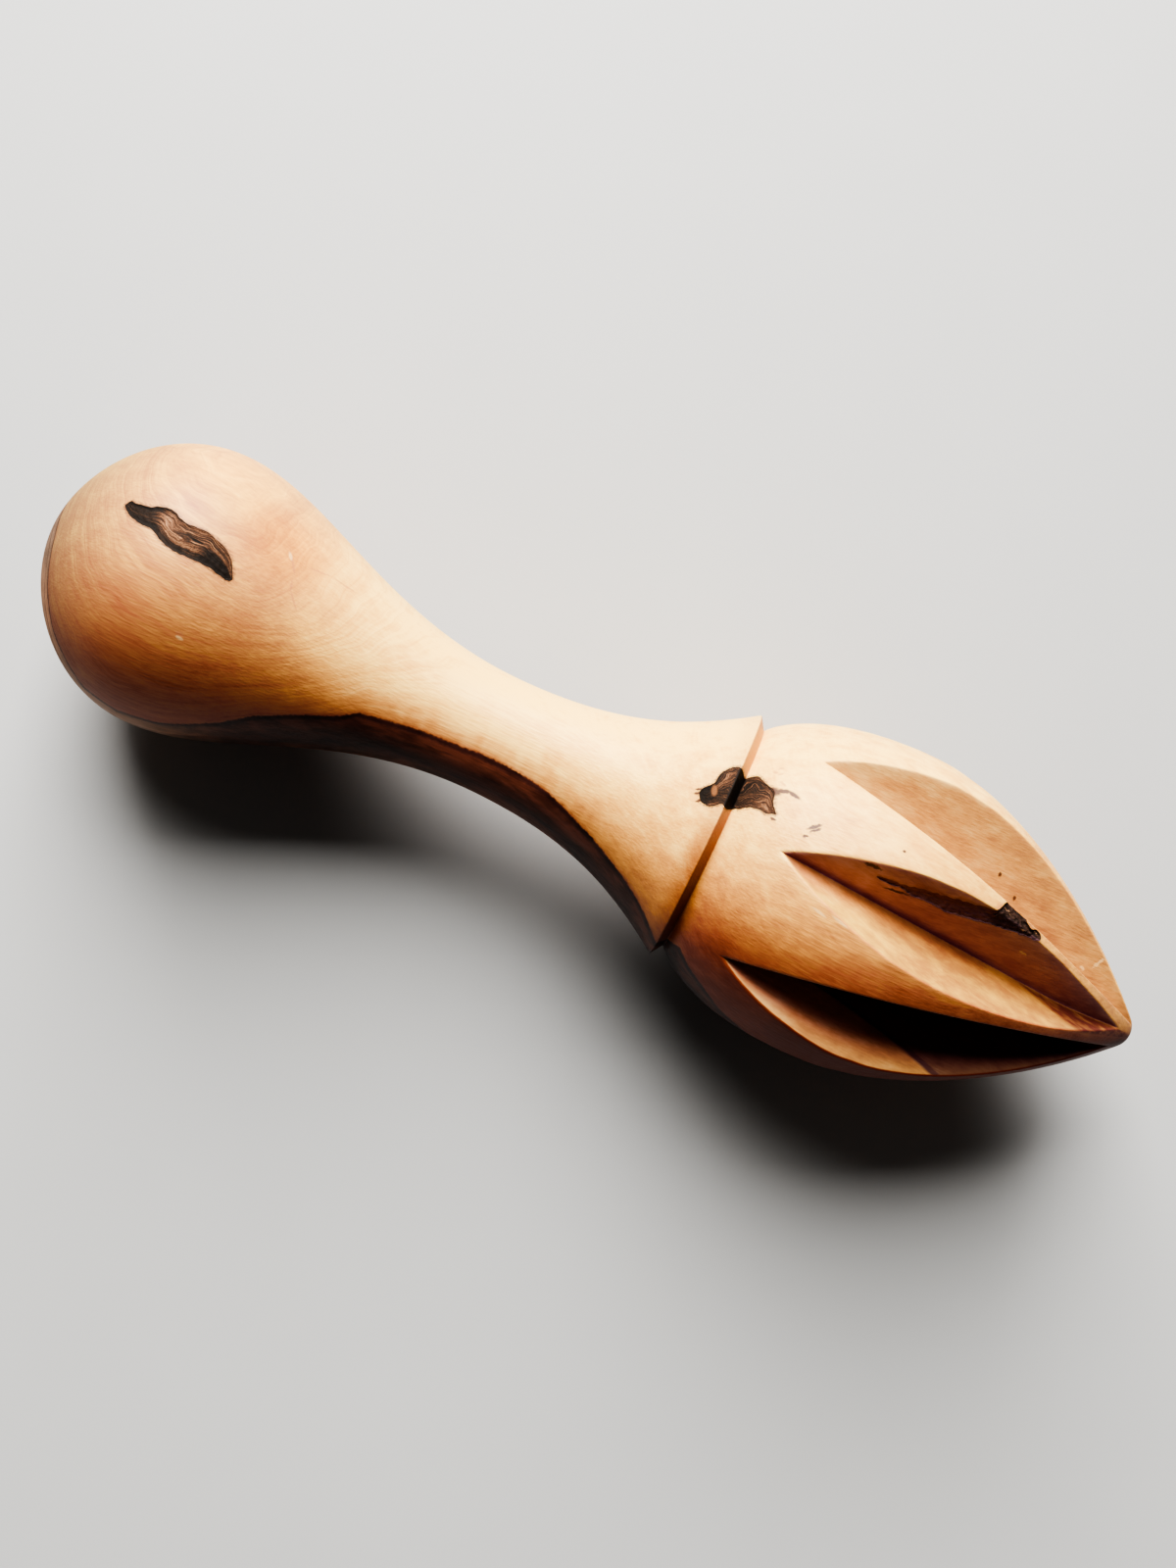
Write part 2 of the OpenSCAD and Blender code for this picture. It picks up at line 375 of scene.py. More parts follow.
INLAYS = (HANDLE_KNOT, COLLAR_KNOT, STREAK)
LADDER_STEP = 0.15
# Millimetres round the wood to one degree of turn, near the knots
TURN_TO_MM = 0.33
EDGE_WOBBLE = 0.30
POCKET_PLAY = 0.02 * MM


def fine_noise(points, scale, seed):
    """Smooth noise from -1 to 1 at points, whose bumps are about scale wide."""
    shift = Vector((seed * 17.3, seed * 5.1, seed * 9.7))
    return np.array([noise.noise(Vector(p) / scale + shift) for p in points])


def ladder_grid(inlay):
    """The inlay's grid: places along, turns, and each point's shares along and across."""
    scale = np.array((1, TURN_TO_MM, TURN_TO_MM))
    rungs = spline(np.array(inlay.ladder) * scale, LADDER_STEP) / scale
    rungs = rungs[np.concatenate([[True], np.diff(rungs[:, 0]) > 0])]
    count = len(rungs)
    wobble = fine_noise(np.array([(i, side * 40.0, 0) for side in (0, 1) for i in range(count)]), 4.3, 3)
    ends = np.minimum(np.arange(count), np.arange(count)[::-1]) / 6
    wobble = wobble.reshape(2, count).T * np.minimum(1, ends)[:, None]
    reach = rungs[:, 1:] + wobble * EDGE_WOBBLE
    share = np.linspace(0, 1, inlay.columns)
    turns = (reach[:, :1] * (1 - share) + reach[:, 1:] * share) * DEG
    along = np.repeat(rungs[:, :1] * MM, inlay.columns, axis=1)
    run = np.repeat(np.linspace(0, 1, count)[:, None], inlay.columns, axis=1)
    return along, turns, run, np.repeat(share[None, :], count, axis=0)


def rim_loop(rows, columns):
    """The indices of a grid's rim, in order."""
    first = [j for j in range(columns)]
    right = [i * columns + columns - 1 for i in range(1, rows)]
    last = [(rows - 1) * columns + j for j in range(columns - 2, -1, -1)]
    left = [i * columns for i in range(rows - 2, 0, -1)]
    return first + right + last + left


def slab(name, top, bottom, rows, columns):
    """A closed mesh between two grids of points."""
    size = rows * columns
    faces = []
    for i in range(rows - 1):
        for j in range(columns - 1):
            a = i * columns + j
            quad = (a, a + 1, a + columns + 1, a + columns)
            faces.append(quad)
            faces.append(tuple(size + k for k in quad[::-1]))
    rim = rim_loop(rows, columns)
    for a, b in zip(rim, rim[1:] + rim[:1]):
        faces.append((b, a, size + a, size + b))
    return new_object(name, np.vstack([top, bottom]), faces)


def inlay_direction(inlay):
    turn = inlay.axis_turn * DEG
    return math.cos(turn) * AXIS_UP + math.sin(turn) * AXIS_SIDE


def rim_distance(points, rim):
    """The distance from each point to the nearest point of the rim."""
    tree = kdtree.KDTree(len(rim))
    for i, point in enumerate(rim):
        tree.insert(point, i)
    tree.balance()
    return np.array([tree.find(point)[2] for point in points])


def make_inlay(inlay, seed):
    """The inlay's own body, the cutter that makes its pocket, and its rim."""
    along, turns, run, across = ladder_grid(inlay)
    rows, columns = along.shape
    surface = to_row(along, turns, surface_radius(along, turns)).reshape(-1, 3)
    rim = surface[rim_loop(rows, columns)]
    edge = rim_distance(surface, rim)
    way = inlay_direction(inlay)
    rough = fine_noise(surface, 0.55 * MM, seed) + 0.5 * fine_noise(surface, 0.22 * MM, seed + 1)
    dip = smoothstep(edge / (0.5 * MM)) * inlay.recess
    dip += smoothstep(edge / (0.3 * MM)) * inlay.ridges * (0.5 + 0.5 * rough)
    top = surface - way * dip[:, None]
    floor = surface - way * inlay.depth
    plug = slab(inlay.node + "_look", top, floor, rows, columns)
    for name, values in (("run", run), ("across", across), ("edge", edge / MM)):
        set_attribute(plug, name, np.tile(np.ravel(values), 2))
    flat = surface - surface.mean(0)
    flat -= (flat @ way)[:, None] * way
    size = np.maximum(np.linalg.norm(flat, axis=1), 1e-6)
    swell = flat * (POCKET_PLAY / size)[:, None]
    top, floor = surface + way * 1.5 * MM + swell, floor - way * POCKET_PLAY + swell
    return plug, slab(inlay.node + "_cutter", top, floor, rows, columns), rim


def set_attribute(obj, name, values):
    layer = obj.data.attributes.new(name, "FLOAT", "POINT")
    layer.data.foreach_set("value", np.asarray(values, dtype=np.float32))


def cut_pockets(obj, cutters):
    for cutter in cutters:
        boolean = obj.modifiers.new("pocket", "BOOLEAN")
        boolean.operation = "DIFFERENCE"
        boolean.solver = "EXACT"
        boolean.object = cutter
    depsgraph = bpy.context.evaluated_depsgraph_get()
    mesh = bpy.data.meshes.new_from_object(obj.evaluated_get(depsgraph))
    obj.modifiers.clear()
    obj.data = mesh
    for cutter in cutters:
        bpy.data.objects.remove(cutter, do_unlink=True)


# The fields that the wood's colours follow, all in millimetres

# The heartwood's edge: how far out from the axis it lies, at places along, measured at HEART_TURN
HEART_TURN = 110 * DEG
HEART_EDGE = [
    (0, -9), (2, -6), (4.3, -2.3), (6.5, 4), (9.2, 8.9), (11.9, 11.8), (15.3, 15.0), (20.6, 16.2),
    (26.5, 15.4), (30.1, 13.9), (34.4, 11.6), (38.6, 8.5), (43.6, 6.1), (48.9, 4.0), (51.2, 2.4),
    (55, 1.95), (59.7, 1.45), (65.4, 1.2), (68.2, 0.9), (71.1, 0.9), (74.2, 1.05), (76.5, 1.25),
    (78.9, 1.65), (81.5, 2.45), (84.2, 3.5), (86.9, 4.45), (89.7, 5.7), (92.6, 7.0), (95.7, 8.8),
    (98, 10.6), (99.7, 12.4), (100.6, 13.1), (103.6, 12.0), (105.7, 13.8), (108.2, 15.2),
    (112.2, 17.9), (116.6, 19.6), (122, 21.5), (130, 24), (165, 24),
]
# A second figure in the wood of the bulb, round a grown-over twig
TWIG_AT = (37.0, -6.0, 15.0)
TWIG_REACH = 8.0
TWIG_BLUSH = (33.5, -9.0, 14.5)
TWIG_HEIGHT = 9.0


def axis_millimetres(points):
    along, turn, radius = from_row(points)
    return along / MM, radius * np.sin(turn) / MM, radius * np.cos(turn) / MM


def heart_field(points):
    """How deep in the heartwood points lie; below nought they are in the sapwood."""
    along, side, up = axis_millimetres(points)
    edge = np.array(HEART_EDGE, float)
    reach = side * math.sin(HEART_TURN) + up * math.cos(HEART_TURN)
    return reach - np.interp(along, edge[:, 0], edge[:, 1])


def growth_field(points):
    """The growth rings' field: it runs with the heartwood's edge and swells round the twig."""
    along, side, up = axis_millimetres(points)
    place, turn, radius = TWIG_AT[0], TWIG_AT[1] * DEG, TWIG_AT[2]
    gap = (along - place) ** 2
    gap = gap + (side - radius * math.sin(turn)) ** 2 + (up - radius * math.cos(turn)) ** 2
    return heart_field(points) - TWIG_HEIGHT * np.exp(-gap / (2 * TWIG_REACH**2))


def heart_facing(points):
    """1 where the surface faces the way that the heartwood lies, and -1 on the far side."""
    _, turn, _ = from_row(points)
    return np.cos(turn - HEART_TURN)


def flute_depth(points):
    along, _, radius = from_row(points)
    return (turned_radius(along) - radius) / MM


def root_distance(points):
    """How far points are from the nearest flute's root: below nought on its upper wall."""
    along, turn, radius = from_row(points)
    roots = np.stack([flute_root(along, flute) for flute in FLUTES])
    away = (turn - roots + math.pi) % (2 * math.pi) - math.pi
    nearest = np.abs(away).argmin(axis=0)
    return away[nearest, np.arange(len(turn))] * radius / MM


def paint_fields(obj, rims):
    points = mesh_points(obj.data)
    set_attribute(obj, "heart", heart_field(points))
    set_attribute(obj, "growth", growth_field(points))
    set_attribute(obj, "facing", heart_facing(points))
    set_attribute(obj, "sunk", flute_depth(points))
    set_attribute(obj, "root", root_distance(points))
    set_attribute(obj, "rim", rim_distance(points, np.vstack(rims)) / MM)


def bake_map(obj):
    """A plain map for baking: places along by turns, with no face torn at the seam."""
    uv = obj.data.uv_layers.new(name="OFBake")
    along, turn, _ = from_row(mesh_points(obj.data))
    corners = np.empty(len(obj.data.loops), dtype=int)
    obj.data.loops.foreach_get("vertex_index", corners)
    u = along[corners] / LENGTH
    v = (turn[corners] / (2 * math.pi)) % 1
    starts = np.array([p.loop_start for p in obj.data.polygons])
    sizes = np.array([p.loop_total for p in obj.data.polygons])
    top = np.repeat(np.maximum.reduceat(v, starts), sizes)
    v = np.where(top - v > 0.5, v + 1, v)
    uv.data.foreach_set("uv", np.stack([u, v], axis=1).ravel().astype(np.float32))


# Materials


def rgba(colour):
    return (*colour, 1.0) if isinstance(colour, tuple) and len(colour) == 3 else colour


class Shader:
    """A material's nodes. Each method adds a node and gives its output."""

    def __init__(self, name):
        self.material = bpy.data.materials.new(name)
        self.material.use_nodes = True
        self.tree = self.material.node_tree
        self.tree.nodes.clear()

    def feed(self, socket, value):
        if isinstance(value, bpy.types.NodeSocket):
            self.tree.links.new(value, socket)
        elif value is not None:
            socket.default_value = value

    def feed_named(self, node, **values):
        for name, value in values.items():
            self.feed(node.inputs[name.replace("_", " ")], value)

    def add(self, kind, *values, output=0, **settings):
        node = self.tree.nodes.new("ShaderNode" + kind)
        for key, value in settings.items():
            setattr(node, key, value)
        for socket, value in zip(node.inputs, values):
            self.feed(socket, value)
        return node.outputs[output]

    def math(self, operation, *values):
        return self.add("Math", *values, operation=operation)

    def vector(self, operation, *values, output=0):
        return self.add("VectorMath", *values, operation=operation, output=output)

    def scaled(self, place, factor):
        node = self.tree.nodes.new("ShaderNodeVectorMath")
        node.operation = "SCALE"
        self.feed(node.inputs[0], place)
        self.feed(node.inputs["Scale"], factor)
        return node.outputs[0]

    def attribute(self, name):
        return self.add("Attribute", attribute_name=name, output=2)

    def step(self, value, low, high, start=0.0, end=1.0):
        """Goes smoothly from start to end while the value goes from low to high."""
        node = self.tree.nodes.new("ShaderNodeMapRange")
        node.interpolation_type = "SMOOTHSTEP"
        self.feed_named(node, Value=value, From_Min=low, From_Max=high, To_Min=start, To_Max=end)
        return node.outputs[0]

    def noise(self, place, scale=1.0, detail=3.0, roughness=0.55):
        node = self.tree.nodes.new("ShaderNodeTexNoise")
        self.feed_named(node, Vector=place, Scale=scale, Detail=detail, Roughness=roughness)
        return node.outputs[0]

    def stretched(self, place, x, y, z):
        return self.vector("MULTIPLY", place, (x, y, z))

    def joined(self, x, y, z):
        return self.add("CombineXYZ", x, y, z)

    def along(self, place):
        return self.add("SeparateXYZ", place)

    def mix(self, share, first, second, blend="MIX"):
        node = self.tree.nodes.new("ShaderNodeMix")
        node.data_type = "RGBA"
        node.blend_type = blend
        self.feed(node.inputs[0], share)
        self.feed(node.inputs[6], rgba(first))
        self.feed(node.inputs[7], rgba(second))
        return node.outputs[2]

    def ramp(self, value, stops):
        node = self.tree.nodes.new("ShaderNodeValToRGB")
        elements = node.color_ramp.elements
        while len(elements) < len(stops):
            elements.new(0.5)
        for element, (place, colour) in zip(elements, stops):
            element.position = place
            element.color = rgba(colour)
        self.feed(node.inputs[0], value)
        return node.outputs[0]

    def height(self, place):
        return self.add("SeparateXYZ", place, output=2)

    def axis_place(self):
        """The place in millimetres: along the axis, to its side and up."""
        where = self.add("TexCoord", output=3)
        where = self.vector("SUBTRACT", where, tuple(AXIS_START))
        parts = [self.vector("DOT_PRODUCT", where, tuple(way), output=1)
                 for way in (AXIS_WAY, AXIS_SIDE, AXIS_UP)]
        return self.scaled(self.joined(*parts), 1 / MM)

    def finish(self, colour, roughness, specular, bump=None, depth=0.0):
        shader = self.tree.nodes.new("ShaderNodeBsdfPrincipled")
        self.feed(shader.inputs["Base Color"], rgba(colour))
        self.feed(shader.inputs["Roughness"], roughness)
        shader.inputs["Specular IOR Level"].default_value = specular
        if bump is not None:
            node = self.tree.nodes.new("ShaderNodeBump")
            self.feed_named(node, Strength=1.0, Distance=depth, Height=bump)
            self.feed(shader.inputs["Normal"], node.outputs[0])
        out = self.tree.nodes.new("ShaderNodeOutputMaterial")
        self.tree.links.new(shader.outputs[0], out.inputs[0])
        return self.material


# Small marks on the surface: place along, turn, length, width, and how far askew
Mark = namedtuple("Mark", "along turn length width askew")
DARK_MARKS = [
    Mark(120.5, -9.1, 2.6, 0.36, -4),
    Mark(124.9, -6.6, 3.7, 0.24, -8),
]
FAINT_MARKS = [
    Mark(105.5, -22.1, 2.3, 1.30, 6),
    Mark(106.6, -23.0, 2.4, 0.74, -8),
    Mark(108.0, -22.5, 2.2, 0.66, 25),
    Mark(106.85, -10.9, 0.9, 0.40, 5),
    Mark(111.9, -13.3, 2.1, 0.56, -40),
    Mark(112.15, -12.2, 1.6, 0.44, -40),
    Mark(111.3, -9.0, 0.8, 0.42, -25),
    Mark(96.75, -13.4, 0.9, 0.38, -25),
    Mark(96.85, -11.2, 1.0, 0.46, -25),
    Mark(97.35, -7.7, 0.9, 0.42, -25),
    Mark(138.0, -49.8, 0.50, 0.42, 0),
    Mark(141.25, -48.0, 0.50, 0.40, 0),
    Mark(123.3, -17.3, 0.50, 0.34, 0),
]
# Thin lines of the figure round the grown-over twig, and faint dashes beside the collar's knot
FIGURE_MARKS = [
    Mark(137.6, -17.2, 1.2, 1.5, 0),
    Mark(27.4, 21.6, 1.2, 0.8, 0),
    Mark(105.3, -33.7, 0.8, 0.40, -25),
    Mark(104.8, -31.5, 0.6, 0.48, 0),
    Mark(105.5, -30.8, 0.8, 0.36, -25),
    Mark(106.2, -26.4, 1.1, 0.40, 30),
    Mark(35.6, -28.2, 3.4, 0.40, 52),
    Mark(39.0, -34.3, 3.8, 0.32, -24),
    Mark(42.4, -38.0, 4.0, 0.32, -9),
    Mark(36.9, -18.4, 1.8, 0.32, 71),
    Mark(38.0, -12.6, 2.8, 0.30, 47),
]
PALE_MARKS = [
    Mark(116.8, 11.9, 2.2, 0.42, 12),
    Mark(119.6, 11.8, 2.6, 0.42, 14),
    Mark(34.9, -30.6, 1.3, 0.5, 52),
    Mark(27.5, 23.2, 1.1, 0.5, 10),
    Mark(156.0, -55.4, 1.5, 0.34, -45),
    Mark(154.2, -46.9, 0.9, 0.36, 0),
    Mark(143.9, -10.0, 1.3, 0.16, 0),
]
# Marks within the knots: strokes of bark, and a spot of sound wood
KNOT_STROKES = [Mark(22.95, -12.0, 1.7, 0.34, -4), Mark(24.5, -13.1, 1.6, 0.36, -4)]
KNOT_SPOT = [Mark(98.62, -14.6, 1.7, 0.8, 69)]
BARK_FLAKES = [Mark(138.9, -18.2, 1.3, 0.45, 20), Mark(142.1, -15.5, 1.4, 0.20, 0), Mark(143.8, -18.0, 1.0, 0.45, 0)]



def mark_share(shader, place, mark):
    """How strongly a mark shows at a place: 1 in its middle, 0 outside it."""
    turn = mark.turn * DEG
    radius = float(surface_radius(np.array(mark.along * MM), np.array(turn))) / MM
    centre = Vector((mark.along, radius * math.sin(turn), radius * math.cos(turn)))
    outward = Vector((0, math.sin(turn), math.cos(turn)))
    sideways = Vector((0, math.cos(turn), -math.sin(turn)))
    lean = mark.askew * DEG
    long = math.cos(lean) * Vector((1, 0, 0)) + math.sin(lean) * sideways
    wide = outward.cross(long)
    spin = Matrix((long, wide, outward)).transposed().to_euler()
    local = shader.add("Mapping", place, tuple(centre), tuple(spin),
                       (mark.length / 2, mark.width / 2, 2.0), vector_type="TEXTURE")
    return shader.step(shader.vector("LENGTH", local, output=1), 1.25, 0.55)


def marks_share(shader, place, marks):
    total = mark_share(shader, place, marks[0])
    for mark in marks[1:]:
        total = shader.math("MAXIMUM", total, mark_share(shader, place, mark))
    return total


# The sapwood's colours, from its darkest tone to its palest
WOOD_STOPS = [
    (0.12, (0.210, 0.050, 0.020)),
    (0.26, (0.300, 0.085, 0.035)),
    (0.38, (0.450, 0.165, 0.075)),
    (0.50, (0.560, 0.265, 0.095)),
    (0.62, (0.780, 0.430, 0.130)),
    (0.74, (0.920, 0.610, 0.210)),
]
# The sapwood's mean tone at places along: the bulb is darker than the waist and the flare
TONE_ALONG = [(0, 0.50), (10, 0.51), (34, 0.51), (47, 0.65), (60, 0.71), (80, 0.71),
              (95, 0.67), (104, 0.67), (118, 0.63), (132, 0.55), (165, 0.52)]
# How much darker it gets on the side that faces the heartwood, and how much paler behind: partly the wood's own tone,
# partly painted shade on the low side away from the window and painted light on the side towards it
TONE_HEART_SIDE_AND_SHADE = 0.24
TONE_FAR_SIDE_AND_LIGHT = 0.06
# How much darker the head is low down beside the collar: partly the wood near the heartwood, partly painted shade
TONE_LOW_HEAD = 0.18
HEART_STOPS = [
    (0.00, (0.260, 0.084, 0.052)),
    (0.03, (0.105, 0.034, 0.027)),
    (0.07, (0.110, 0.036, 0.028)),
    (0.13, (0.270, 0.082, 0.050)),
    (0.28, (0.310, 0.096, 0.056)),
    (0.42, (0.165, 0.046, 0.027)),
    (0.60, (0.115, 0.032, 0.019)),
    (0.72, (0.200, 0.062, 0.034)),
    (1.00, (0.370, 0.140, 0.072)),
]
# How bright the dark heartwood is at places along
HEART_TONE_ALONG = [(0, 0.72), (50, 0.62), (58, 1.0), (78, 1.0), (86, 0.68), (96, 0.62), (165, 0.7)]
PALE_HEART_STOPS = [
    (0.00, (0.170, 0.065, 0.035)),
    (0.04, (0.110, 0.042, 0.026)),
    (0.08, (0.430, 0.205, 0.115)),
    (0.30, (0.540, 0.285, 0.160)),
    (0.36, (0.240, 0.105, 0.062)),
    (0.42, (0.480, 0.250, 0.145)),
    (1.00, (0.440, 0.230, 0.130)),
]
HEART_DEEP = 8.0


# The groove's colours by how far it faces the heartwood: the groove is darker than the wood beside it, and its fall to
# dark brown on the low side is painted shade
GROOVE_AND_SHADE_STOPS = [
    (0.00, (0.600, 0.290, 0.125)),
    (0.30, (0.360, 0.120, 0.090)),
    (1.00, (0.190, 0.058, 0.045)),
]
# Where the dark wedge at the tip starts, and how fast it widens
WEDGE_AT = 145.5
WEDGE_GROWTH = 0.21
# The dark wood on the lowest wall that shows: where its edge lies along, and how it leans
STAIN_EDGE = 83.7
STAIN_LEAN = 82.2


def sapwood(shader, place, growth):
    """The light wood's colour, with its figure, fibres and blotches."""
    sway = shader.noise(shader.stretched(place, 0.05, 0.10, 0.10), detail=2)
    sway = shader.math("MULTIPLY", shader.math("SUBTRACT", sway, 0.5), 6.0)
    rings = shader.math("ADD", growth, sway)
    along = shader.along(place)
    broad = shader.noise(shader.joined(shader.math("MULTIPLY", rings, 0.42),
                                       shader.math("MULTIPLY", along, 0.035), 0.0), detail=2)
    fine = shader.noise(shader.joined(shader.math("MULTIPLY", rings, 1.9),
                                      shader.math("MULTIPLY", along, 0.06), 3.0), detail=4)
    pores = shader.noise(shader.joined(shader.math("MULTIPLY", rings, 5.5),
                                       shader.math("MULTIPLY", along, 0.35), 7.0), detail=3)
    lines = shader.noise(shader.joined(shader.math("MULTIPLY", rings, 3.2),
                                       shader.math("MULTIPLY", along, 0.06), 9.0), detail=2)
    fibre = shader.noise(shader.stretched(place, 0.16, 3.6, 3.6), detail=3)
    cloud = shader.noise(shader.stretched(place, 0.07, 0.12, 0.12), detail=2)
    blotch = shader.noise(shader.stretched(place, 0.30, 0.55, 0.55), detail=3, roughness=0.6)
    tone = tone_along(shader, along, TONE_ALONG)
    figure = 0.0
    for part, weight in ((broad, 0.17), (fine, 0.17), (lines, 0.11), (pores, 0.10)):
        figure = shader.math("MULTIPLY_ADD", shader.math("SUBTRACT", part, 0.5), weight, figure)
    # The figure shows less on the head
    tone = shader.math("MULTIPLY_ADD", figure, shader.step(along, 60.0, 105.0, 1.0, 0.55), tone)
    mottle = shader.math("MULTIPLY", shader.math("SUBTRACT", blotch, 0.5), shader.step(along, 60.0, 105.0, 0.17, 0.30))
    tone = shader.math("ADD", tone, mottle)
    for part, weight in ((fibre, 0.13), (cloud, 0.16)):
        tone = shader.math("MULTIPLY_ADD", shader.math("SUBTRACT", part, 0.5), weight, tone)
    facing = shader.attribute("facing")
    skin = shader.step(shader.attribute("sunk"), 0.30, 0.05)
    near = shader.math("MULTIPLY", shader.step(facing, -0.45, 0.85), skin)
    near = shader.math("MULTIPLY", near, shader.step(along, 34.0, 50.0, 0.60, 1.0))
    flare = shader.math("MULTIPLY", shader.step(along, 62.0, 80.0), shader.step(along, 102.0, 101.0))
    near = shader.math("MULTIPLY", near, shader.math("MULTIPLY_ADD", flare, -0.35, 1.0))
    # Darker on the heartwood's side and paler behind: partly the wood's own tone, partly painted shade and painted
    # light, as the window lights the far side
    tone = shader.math("MULTIPLY_ADD", near, -TONE_HEART_SIDE_AND_SHADE, tone)
    tone = shader.math("ADD", tone, shader.step(facing, -0.45, -0.95, 0.0, TONE_FAR_SIDE_AND_LIGHT))
    # The flutes' lower walls on the heartwood's side are a little paler: painted light, where these walls face the
    # window
    tone = shader.math("MULTIPLY_ADD", inner_wall(shader), 0.06, tone)
    # The head is darker low down beside the collar: partly the wood near the heartwood, partly painted shade
    low = shader.math("MULTIPLY", shader.step(along, 101.0, 106.0), shader.step(facing, 0.0, 0.60))
    tone = shader.math("MULTIPLY_ADD", shader.math("MULTIPLY", low, skin), -TONE_LOW_HEAD, tone)
    # On the head, the rib beside the bark is paler, and the next one darker along its lower edge
    rib = shader.math("MULTIPLY", shader.step(along, 114.0, 126.0), skin)
    tone = shader.math("MULTIPLY_ADD", shader.math("MULTIPLY", rib, shader.step(facing, -0.02, 0.08)), -0.09, tone)
    paler = shader.math("MULTIPLY", shader.step(facing, -0.30, -0.60), shader.step(along, 144.0, 136.0))
    tone = shader.math("MULTIPLY_ADD", shader.math("MULTIPLY", rib, paler), 0.06, tone)
    # Curled grain beside the heartwood, on the neck
    curl = shader.noise(shader.stretched(place, 0.50, 0.13, 0.13), detail=1)
    where = shader.math("MULTIPLY", shader.step(along, 50.0, 58.0), shader.step(along, 98.0, 84.0))
    where = shader.math("MULTIPLY", where, shader.step(shader.attribute("heart"), -6.5, -1.5))
    curl = shader.math("MULTIPLY", shader.math("SUBTRACT", curl, 0.5), where)
    tone = shader.math("MULTIPLY_ADD", curl, 0.26, tone)
    # That side also goes redder: partly the wood's own hue, partly the warm hue of painted shade where only bounced
    # light reaches
    reddish = shader.math("MULTIPLY", near, shader.step(along, 4.0, 36.0, 0.50, 1.25))
    red = shader.mix(shader.step(along, 60.0, 101.0), (1.0, 0.68, 0.90), (1.0, 0.69, 0.68))
    colour = shader.mix(reddish, shader.ramp(tone, WOOD_STOPS), red, "MULTIPLY")
    blush = shader.vector("DISTANCE", place, TWIG_BLUSH, output=1)
    return shader.mix(shader.step(blush, 9.0, 2.0), colour, (0.97, 0.85, 0.72), "MULTIPLY")


def tone_along(shader, along, tones):
    share = shader.math("DIVIDE", along, LENGTH / MM)
    return shader.ramp(share, [(x * MM / LENGTH, (t, t, t)) for x, t in tones])


def heartwood(shader, place, heart):
    """The heartwood's colour: dark lines and reddish brown, but pale on the bulb."""
    along = shader.along(place)
    depth = shader.math("DIVIDE", heart, HEART_DEEP)
    grain = shader.noise(shader.stretched(place, 0.10, 1.3, 1.3), detail=3)
    patch = shader.noise(shader.stretched(place, 0.16, 0.5, 0.5), detail=3)
    warped = shader.math("MULTIPLY_ADD", shader.math("SUBTRACT", grain, 0.5), 0.06, depth)
    dark = shader.ramp(warped, HEART_STOPS)
    dark = shader.mix(1.0, dark, tone_along(shader, along, HEART_TONE_ALONG), "MULTIPLY")
    pale = shader.ramp(warped, PALE_HEART_STOPS)
    end = shader.step(shader.attribute("facing"), 0.55, 0.05)
    pale = shader.mix(end, pale, (0.50, 0.58, 0.64), "MULTIPLY")
    colour = shader.mix(shader.step(along, 20.0, 38.0), pale, dark)
    shade = shader.step(patch, 0.35, 0.62, shader.step(along, 20.0, 38.0, 0.78, 0.45), 1.0)
    colour = shader.mix(1.0, colour, shader.joined(shade, shade, shade), "MULTIPLY")
    # On the head the heartwood is darker, and darker still beside the groove: there it is painted shade, next to the
    # collar's rim
    head = shader.math("MULTIPLY", shader.step(along, 101.0, 101.6), shader.step(heart, 0.2, 2.0))
    head = shader.mix(head, (1.0, 1.0, 1.0), shader.mix(shader.step(along, 105.5, 102.5), (0.66, 0.48, 0.38), (0.36, 0.26, 0.24)))
    return shader.mix(1.0, colour, head, "MULTIPLY")


def tip_stain(shader, along):
    """Where the tip is dark."""
    tip = shader.step(shader.attribute("facing"), -0.30, -0.05)
    return shader.math("MULTIPLY", shader.step(along, 150.0, 157.0, 0.0, 0.50), tip)


def wall_stain(shader, along):
    """Where the lowest flute's lower wall is dark: its edge crosses the wall askew, as a line."""
    edge = shader.math("MULTIPLY_ADD", shader.attribute("facing"), -STAIN_LEAN, along)
    edge = shader.math("SUBTRACT", edge, STAIN_EDGE)
    line = shader.math("ABSOLUTE", shader.math("SUBTRACT", edge, 0.5))
    share = shader.math("MULTIPLY_ADD", shader.step(line, 0.9, 0.2), 0.35, shader.step(edge, -0.3, 0.6, 0.0, 0.8))
    return shader.math("MULTIPLY", share, inner_wall(shader))


def inner_wall(shader):
    """The lower walls of the flutes on the heartwood's side."""
    share = shader.math("MULTIPLY", shader.step(shader.attribute("root"), 0.0, 0.5),
                        shader.step(shader.attribute("facing"), 0.30, 0.45))
    return shader.math("MULTIPLY", share, shader.step(shader.attribute("sunk"), 0.05, 0.30))


